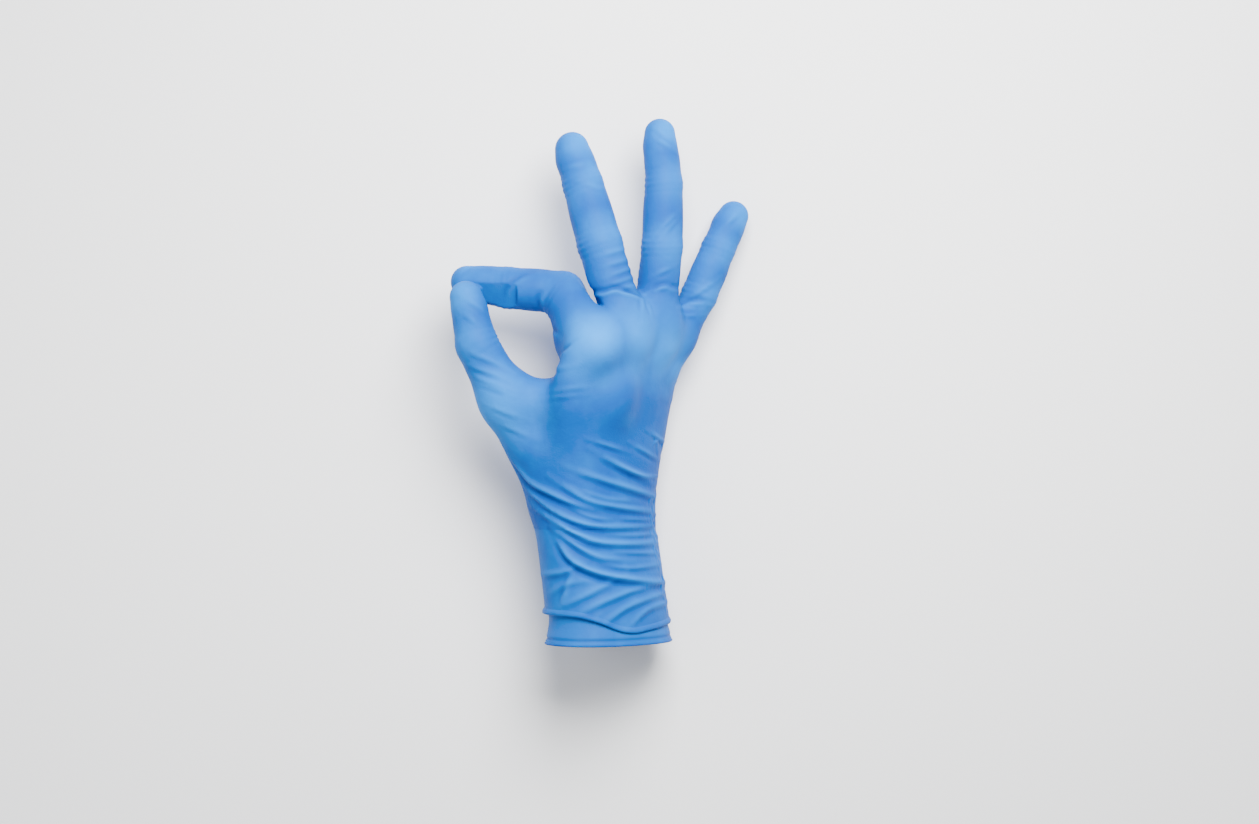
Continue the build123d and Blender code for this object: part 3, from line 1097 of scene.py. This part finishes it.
@dataclass
class HandFilm:
    """The film over the hand, from the wrist to the fingertips.

    Args:
        shape: the hand's field.
        folds: what wrinkles it.
        material: its finish.
        grid: spacing of the field's samples, before each quad is cut into 4.
        wrist_cut: where it meets the sleeve, from the cuff's edge.
        contact_gap: what is left between the two pads, on each side of their middle plane.
        wrist_bend: where the wrist's bend starts and ends, from the cuff's edge.
        liner_depth: how far a liner lies inside its stall.
        liner_grid: spacing of a liner's samples.
    """

    shape: HandField
    folds: FoldedFilm
    material: bpy.types.Material
    grid: float = 1.15
    wrist_cut: float = 50.0
    contact_gap: float = 0.12
    wrist_bend: tuple[float, float] = (51.0, 68.0)
    liner_depth: float = 0.7
    liner_grid: float = 1.3

    def sheet(self) -> Sheet:
        """The film as one sheet.

        The field's surface is settled, cut finer and settled again, lifted along its normals
        by the folds, closed at the thumb, and pressed flat where the two pads meet.

        Returns:
            The sheet. Each quad's piece is left in regions.
        """
        low = np.array(CAD_LOW) / MM - 5
        high = np.array(CAD_HIGH) / MM + (5, 5, 8)
        low[1] = CUFF_EDGE_Y + self.wrist_cut
        counts = np.ceil((high - low) / self.grid).astype(int)
        axes = [low[i] + self.grid * np.arange(counts[i]) for i in range(3)]
        values = np.empty(counts)
        for i, x in enumerate(axes[0]):
            y, z = np.meshgrid(axes[1], axes[2], indexing="ij")
            values[i] = self.shape(np.stack([np.full_like(y, x), y, z], axis=-1))
        points, quads = surface_net(values, low, self.grid)
        points = self.level_wrist(self.shape.settle(points))
        points, quads = subdivide(points, quads)
        points = self.level_wrist(self.shape.settle(points))
        normals = unit(self.shape.gradient(points))
        self.regions = self.assign(points[quads].mean(axis=1))
        # the folds also give painted shade in furrows and painted highlight on crests
        lift, painted_shade_and_highlight = self.folds.lift(points, normals)
        lift = lift + self.folds.unevenness(points) + self.ripples(points, normals)
        # pull: paleness of taut film, which also serves as a painted highlight over knuckles and tips
        pull_and_highlight = self.pull_and_highlight(points, normals)
        points = points + normals * lift[:, None]
        points = self.close_thumb(points)
        points = self.press(points)
        return Sheet(points, quads, vertex_normals(points, quads), pull_and_highlight, painted_shade_and_highlight)

    def level_wrist(self, points: Array) -> Array:
        """Set the lowest row of points level, where the sleeve joins.

        Args:
            points: the film's points, changed in place.

        Returns:
            The same points.
        """
        edge = CUFF_EDGE_Y + self.wrist_cut
        row = points[:, 1] < edge + 0.62 * self.grid
        points[row, 1] = edge
        return points

    def assign(self, centres: Array) -> Array:
        """Choose each quad's piece.

        A quad belongs to the nearest stall if it is ahead of a little behind that knuckle. The
        stall's next piece starts at the middle of the section before its crease.

        Args:
            centres: the quads' middles.

        Returns:
            A number each: 0 the palm, 1 the wrist, then each stall's pieces in order.
        """
        best = self.shape.palm(centres)
        out = np.zeros(len(centres), int)
        out[centres[:, 1] < CUFF_EDGE_Y + self.wrist_bend[1] + 2] = 1
        number = 2
        distances = np.stack([s.field(centres) for s in self.shape.stalls])
        nearest = distances.argmin(0)
        for k, s in enumerate(self.shape.stalls):
            mine = nearest == k
            ahead = (centres - s.points[0]) @ s.direction(0)
            root = mine & (ahead > -4) & (distances[k] < best + 6)
            out[root] = number
            for i in range(1, len(s.points) - 1):
                middle = (s.points[i - 1] + s.points[i]) / 2
                sections = [taper(centres, s.points[j], s.points[j + 1], s.radii[j], s.radii[j + 1])
                            for j in range(len(s.points) - 1)]
                later = np.min(sections[i:], axis=0) < sections[i - 1]
                half = (sections[i - 1] <= np.min(sections[i:], axis=0)) & (
                    (centres - middle) @ s.direction(i - 1) > 0)
                out[root & (later | half)] = number + i
            number += len(s.points) - 1
        return out

    def ripples(self, p: Array, n: Array) -> Array:
        """Fine cross wrinkles at each crease: cosines along the stall that fade within 9 mm.

        Args:
            p: points of the film.
            n: their normals.

        Returns:
            The lift in mm, more on the palm side.
        """
        out = np.zeros(len(p))
        for s in self.shape.stalls:
            for i in range(1, len(s.points) - 1):
                way = unit(s.direction(i - 1) + s.direction(i))
                reach = np.linalg.norm(p - s.points[i], axis=-1) < s.radii[i] + 6
                t = (p - s.points[i]) @ way
                skew = (p - s.points[i]) @ s.axes[i] * 0.12
                wave = np.cos((t + skew) * 2 * math.pi / 2.7) * np.exp(-((t / 5.5) ** 2))
                palm_side = np.cross(s.axes[i], way)
                facing = 0.5 + 0.5 * (n @ palm_side)
                out += np.where(reach, 0.1 * wave * (0.35 + facing), 0)
        return out

    def pull_and_highlight(self, p: Array, n: Array) -> Array:
        """How tightly the film is pulled over the knuckles, bent creases and tips, which the finish
        also uses as a painted highlight there.

        About each it falls as exp(-1.1 (d / r)^2), and it is weaker on the palm side.

        Args:
            p: points of the film.
            n: their normals.

        Returns:
            A share from 0 to 0.9.
        """
        out = np.zeros(len(p))
        for s in self.shape.stalls:
            for i, (at, r) in enumerate(zip(s.points, s.radii)):
                d = np.linalg.norm(p - at, axis=-1)
                axis = s.axes[min(i, len(s.axes) - 1)]
                back = -np.cross(axis, s.direction(min(i, len(s.points) - 2)))
                facing = np.clip(n @ back, 0, 1)
                size = 1.5 if i == 0 else 1.15
                strength = 0.75 if i in (0, len(s.points) - 1) else 0.45
                out = np.maximum(out, strength * np.exp(-((d / (r * size)) ** 2) * 1.1)
                                 * (0.35 + 0.65 * facing) * 2.0)
        return np.clip(out, 0, 0.9)

    def close_thumb(self, points: Array) -> Array:
        """Turns the thumb's last section, shaped open, back onto the forefinger.

        The turn grows by a smoothstep over 10 mm about the thumb's crease.

        Args:
            points: the film's points.

        Returns:
            The points, with the thumb closed.
        """
        s = self.shape.stall(Finger.THUMB)
        pivot, axis, way = s.points[1], s.axes[1], s.direction(1)
        mine = taper(points, pivot, s.points[2], s.radii[1], s.radii[2]) < 4
        mine |= taper(points, s.points[0], pivot, s.radii[0], s.radii[1]) < 4
        along = (points - pivot) @ unit(way + s.direction(0))
        others = np.min([o.field(points) for o in self.shape.stalls if o is not s], axis=0)
        weight = smoothstep((along + 5) / 10) * mine * (others > 1.2)
        angle = weight * math.radians(s.open_angle)
        return turn(points, pivot, axis, angle)

    def press(self, points: Array) -> Array:
        """Flattens the two pads against each other, on the plane halfway between them.

        Args:
            points: the film's points.

        Returns:
            The points, none of them past the plane less the gap.
        """
        thumb, index = self.shape.stall(Finger.THUMB), self.shape.stall(Finger.INDEX)
        a, b = index.points[2], index.points[3]
        t = along_segment(thumb.tip[None], a, b)[0]
        other = a + t * (b - a)
        n = unit(thumb.tip - other)
        gap = np.linalg.norm(thumb.tip - other)
        spare = (gap - thumb.radii[2] - (index.radii[2] * (1 - t) + index.radii[3] * t)) / 2
        middle = thumb.tip - n * (thumb.radii[2] + spare)
        height = (points - middle) @ n
        thumb_side = taper(points, thumb.points[1], thumb.tip,
                           thumb.radii[1] + 2, thumb.radii[2] + 1.6)
        index_side = index.field(points) - 1.0
        near = np.linalg.norm(points - middle, axis=-1) < 3 * thumb.radii[2]
        on_thumb = near & (thumb_side < 0) & (thumb_side < index_side)
        on_index = near & (index_side < 0) & ~on_thumb
        push = np.where(on_thumb, np.maximum(0, self.contact_gap - height), 0)
        push -= np.where(on_index, np.maximum(0, self.contact_gap + height), 0)
        return points + n * push[:, None]

    def liner(self, s: Stall) -> Sheet:
        """A second skin just inside a stall's first section, which shows where the web opens.

        It is the surface of the section's round taper, less the liner's depth.

        Args:
            s: the stall.

        Returns:
            The liner's sheet.
        """
        a, b = s.points[:2]
        ra, rb = s.radii[0] - 3 * self.liner_depth, s.radii[1] - self.liner_depth
        reach = max(ra, rb) + 2 * self.liner_grid
        low, high = np.minimum(a, b) - reach, np.maximum(a, b) + reach
        axes = [np.arange(low[i], high[i], self.liner_grid) for i in range(3)]
        grid = np.stack(np.meshgrid(*axes, indexing="ij"), axis=-1)
        points, quads = surface_net(taper(grid, a, b, ra, rb), low, self.liner_grid)
        middle = a + along_segment(points, a, b)[:, None] * (b - a)
        normals = unit(points - middle)
        points = points - normals * taper(points, a, b, ra, rb)[:, None]
        return Sheet(points, quads, normals, np.full(len(points), 0.2), np.zeros(len(points)))

    def build(self) -> None:
        """Cut the sheet into pieces; the palm piece and each liner hang on their bodies, and the
        wrist and stall pieces are left fixed where they lie.
        """
        sheet = self.sheet()
        regions = self.regions
        palm = sheet.piece("palm_film", regions == 0, self.material, "hand_film")
        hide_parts("palm")
        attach(palm, "palm")
        wrist = sheet.piece("wrist_film", regions == 1, self.material, "hand_film")
        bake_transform(wrist)
        number = 2
        for s in self.shape.stalls:
            for i, node in enumerate(s.nodes):
                piece = sheet.piece(f"{node}_film", regions == number + i, self.material, "hand_film")
                before = s.direction(i - 1) if i else s.direction(0)
                way = unit(before + s.direction(i))
                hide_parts(node)
                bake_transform(piece)
            number += len(s.nodes)
            inner = self.liner(s)
            piece = inner.piece(f"{s.nodes[0]}_liner", np.ones(len(inner.quads), bool),
                                self.material, "hand_film")
            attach(piece, s.nodes[0])


@dataclass
class Cuff:
    """The sleeve around the wrist, which laps over the end band, and the band's rolled bead.

    Args:
        shape: the hand's field, whose oval tube the cuff goes round.
        folds: what wrinkles the sleeve.
        material: the finish.
        around: columns of each grid.
        rows: rows of the sleeve's grid.
        top: where the sleeve meets the hand's film, from the cuff's edge.
        lap: how far the sleeve's edge is turned up inside.
        edge_angles: degrees at which the lapped edge's height is given.
        edge_heights: its heights there.
        lift_off: how far the lap stands off the band, where it does.
        lift_off_angle: degrees at which it does.
        fuller_from: where the sleeve starts to fill out to the hand's own shape.
    """

    shape: HandField
    folds: FoldedFilm
    material: bpy.types.Material
    around: int = 360
    rows: int = 100
    top: float = 50.0
    lap: float = 3.5
    edge_angles: tuple[float, ...] = (0, 40, 62, 80, 98, 116, 150, 180, 220, 270, 320)
    edge_heights: tuple[float, ...] = (7.8, 6.4, 5.4, 6.6, 10.8, 13.2, 13.4, 13.8, 11.0, 9.4, 9.0)
    lift_off: float = 1.1
    lift_off_angle: float = 172
    fuller_from: float = 36

    def edge(self, angle: Array) -> Array:
        """Height of the sleeve's lapped edge above the cuff's edge, around the wrist.

        The heights at the named angles, joined by straight lines and averaged over 16 degrees.

        Args:
            angle: radians around the wrist.

        Returns:
            A height for each angle.
        """
        spread = np.radians(np.linspace(-8, 8, 9))
        degrees = np.degrees(angle[..., None] + spread)
        return np.interp(degrees, self.edge_angles, self.edge_heights, period=360).mean(-1)

    def grid(self, points: Array) -> Array:
        """Quads between neighbouring rows and columns of a grid, closed around.

        Args:
            points: anything of the grid's rows and columns.

        Returns:
            The quads.
        """
        rows, around = points.shape[:2]
        index = np.arange(rows * around).reshape(rows, around)
        here, there = index, np.roll(index, -1, axis=1)
        return np.stack([here[:-1], there[:-1], there[1:], here[1:]], axis=-1).reshape(-1, 4)

    def facing_out(self, points: Array, quads: Array, normals: Array) -> tuple[Array, Array]:
        """Turn the quads round if they face inwards.

        Args:
            points: the grid's points.
            quads: its quads.
            normals: which way is outwards at each point.

        Returns:
            The quads, and the points' normals.
        """
        outward = vertex_normals(points, quads)
        if (outward * normals).sum() < 0:
            return quads[:, ::-1], -outward
        return quads, outward

    def sleeve(self) -> Sheet:
        """Sleeve: oval rings from the wrist down to the lapped edge, then turned up inside.

        Down the sleeve the height runs from the top to the edge. Past the edge the ring goes
        up again by the lap, and its offset from the oval falls along half a circle.

        Returns:
            The sleeve's sheet.
        """
        u = np.linspace(0, 2 * math.pi, self.around, endpoint=False)
        angle = np.tile(u, (self.rows, 1))
        v = np.linspace(0, 1, self.rows)[:, None]
        edge = self.edge(angle)
        turned = np.clip((v - 0.9) / 0.1, 0, 1)
        down = np.clip(v / 0.9, 0, 1)
        height = self.top + (edge - self.top) * down + self.lap * turned**1.5
        points = self.shape.oval.ring(height + CUFF_EDGE_Y, angle)
        flat = points.reshape(-1, 3)
        normals = self.shape.oval.normals(flat)
        # the sleeve's folds get painted shade in furrows and painted highlight on crests
        lift, painted_shade_and_highlight = self.folds.lift(flat, normals)
        fuller = -self.shape(flat) * smoothstep((height.ravel() - self.fuller_from) / 10)
        settled = smoothstep((height.ravel() - edge.ravel() + 1) / 5)
        left = np.exp(-((np.degrees(angle) - self.lift_off_angle) / 16) ** 2)
        loose = 1 - settled.reshape(height.shape)
        roll = 0.9 * np.sin(math.pi * turned) - 1.1 * turned + self.lift_off * left * loose
        lift = (lift * (0.25 + 0.75 * settled) + self.folds.unevenness(flat)
                + (roll + 0.5 * smoothstep((self.top - height) / 20)).ravel() + fuller)
        points = flat + normals * lift[:, None]
        quads, outward = self.facing_out(points, self.grid(angle)[:, ::-1], normals)
        return Sheet(points, quads, outward, 0.12 * np.ones(len(points)), painted_shade_and_highlight)

    def band(self) -> Sheet:
        """End band: rings from above the lap down to the bead, flared, with a soft bow.

        The offset from the oval is a smoothstep flare, less a bell-shaped line by the bead,
        plus three waves around.

        Returns:
            The band's sheet.
        """
        u = np.linspace(0, 2 * math.pi, self.around, endpoint=False)
        rows = 40
        angle = np.tile(u, (rows, 1))
        height = np.linspace(16.5, 1.0, rows)[:, None] + 0 * angle
        points = self.shape.oval.ring(height + CUFF_EDGE_Y, angle)
        normals = self.shape.oval.normals(points.reshape(-1, 3))
        flare = 1.5 * smoothstep((12 - height) / 12) - 0.9
        line = -0.35 * np.exp(-((height - 2.9) / 0.7) ** 2)
        sag = 0.35 * np.sin(3 * angle + 0.6) * smoothstep((10 - height) / 10)
        lift = (flare + line + sag).ravel()
        points = points.reshape(-1, 3) + normals * lift[:, None]
        quads, outward = self.facing_out(points, self.grid(angle), normals)
        # painted shade in the groove above the bead
        painted_shade_and_highlight = np.clip(line * 1.6, -1, 1).ravel()
        return Sheet(points, quads, outward, 0.2 * np.ones(len(points)), painted_shade_and_highlight)

    def bead(self, band: Sheet) -> tuple[Array, Array]:
        """Bead: a small circle carried around the band's last ring.

        Args:
            band: the band's sheet.

        Returns:
            The bead's points and quads.
        """
        ring = band.points[-self.around:]
        middle = ring.mean(axis=0)
        out = unit((ring - middle) * (1, 0, 1))
        small = np.linspace(0, 2 * math.pi, 14, endpoint=False)
        circle = np.cos(small)[:, None, None] * out + np.sin(small)[:, None, None] * ALONG
        points = ring - ALONG * 0.35 - out * 0.1 + 0.5 * circle
        rows, around = points.shape[:2]
        index = np.arange(rows * around).reshape(rows, around)
        up = np.roll(index, -1, axis=0)
        quads = np.stack([index, up, np.roll(up, -1, axis=1), np.roll(index, -1, axis=1)], axis=-1)
        return points.reshape(-1, 3), quads.reshape(-1, 4)

    def build(self) -> None:
        """Make the three pieces and hang them on the cuff."""
        sleeve = self.sleeve()
        everything = np.ones(len(sleeve.quads), bool)
        piece = sleeve.piece("sleeve_film", everything, self.material, "cuff_film")
        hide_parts("cuff_sleeve")
        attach(piece, "cuff")
        band = self.band()
        piece = band.piece("band_film", np.ones(len(band.quads), bool), self.material, "cuff_film")
        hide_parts("cuff_band")
        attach(piece, "cuff")
        points, quads = self.bead(band)
        mesh = mesh_of("bead", points, quads)
        if outward_volume(points, quads) < 0:
            mesh.flip_normals()
        piece = object_of("bead", mesh, self.material)
        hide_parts("cuff_bead")
        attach(piece, "cuff")


def outward_volume(points: Array, quads: Array) -> float:
    """The volume that the quads close in, below 0 if they face inwards."""
    a, b, c, d = (points[quads[:, i]] for i in range(4))
    return float((np.cross(a, b) * c).sum() + (np.cross(a, c) * d).sum())


# --------------------------------------------------------------------------------------------
# Set


@dataclass
class Studio:
    """A pale floor, soft light from above the fingers, and a camera that looks straight down.

    Args:
        floor_colour: the floor's sRGB colour.
        view_width: how much the camera takes in across, in mm, at the distance.
        distance: from the camera down to what it looks at.
        look_at: the middle of its view, y from the cuff's edge.
    """

    floor_colour: str = "#FFFFFF"
    view_width: float = 548.0
    distance: float = 1250.0
    look_at: tuple[float, float, float] = (12.8, 100.5, 32.0)

    def build(self) -> None:
        """Make the floor, the lights and the camera."""
        self.floor()
        self.light("key", (110, 420, 520), 380, 13)
        self.light("fill", (-380, 40, 420), 420, 1.0)
        self.world()
        self.camera()

    def floor(self) -> None:
        """A flat floor at the table's height."""
        mesh = mesh_of("floor", np.array([[-3000, -3000, 0], [3000, -3000, 0], [3000, 3000, 0],
                                          [-3000, 3000, 0]], float), np.array([[0, 1, 2, 3]]))
        floor = in_scene("floor", mesh)
        material = bpy.data.materials.new("pale_floor")
        material.use_nodes = True
        shader = material.node_tree.nodes["Principled BSDF"]
        shader.inputs["Base Color"].default_value = linear(self.floor_colour)
        shader.inputs["Roughness"].default_value = 0.9
        mesh.materials.append(material)

    def light(self, name: str, at: tuple[float, float, float], size: float, power: float) -> None:
        """A square lamp that faces the glove's middle.

        Args:
            name: the lamp's name.
            at: where it hangs, in mm, y from the cuff's edge.
            size: its side in mm.
            power: in watts.
        """
        data = bpy.data.lights.new(name, "AREA")
        data.size, data.energy = size * MM, power
        lamp = in_scene(name, data)
        place = up_from_cuff(*at) * MM
        lamp.location = place
        aim = up_from_cuff(10, 115, 25) * MM - place
        lamp.rotation_euler = Vector(aim).to_track_quat("-Z", "Y").to_euler()

    def world(self) -> None:
        """Even pale light from all round."""
        world = bpy.data.worlds.new("studio")
        world.use_nodes = True
        background = world.node_tree.nodes["Background"]
        background.inputs["Color"].default_value = linear("#F4F8FF")
        background.inputs["Strength"].default_value = 0.5
        bpy.context.scene.world = world

    def camera(self) -> None:
        """A long lens straight above, framed wide."""
        data = bpy.data.cameras.new("camera")
        data.sensor_width = 36
        data.lens = 36 * self.distance / self.view_width
        data.clip_start, data.clip_end = 0.01, 20
        camera = in_scene("camera", data)
        camera.location = (up_from_cuff(*self.look_at) + (0, 0, self.distance)) * MM
        bpy.context.scene.camera = camera


def main() -> None:
    """Build the glove's film, its cuff and the set."""
    logging.basicConfig(level=logging.INFO, format="%(name)s %(message)s")
    shape = HandField()
    folds = FoldedFilm(shape, wrist_folds() + finger_folds() + under_folds())
    hand = DippedNitrile("hand_nitrile").build()
    cuff = DippedNitrile("cuff_nitrile", grain_depth=0.3, roughness=0.42).build()
    HandFilm(shape, folds, hand).build()
    Cuff(shape, folds, cuff).build()
    Studio().build()


if __name__ == "__main__":
    main()
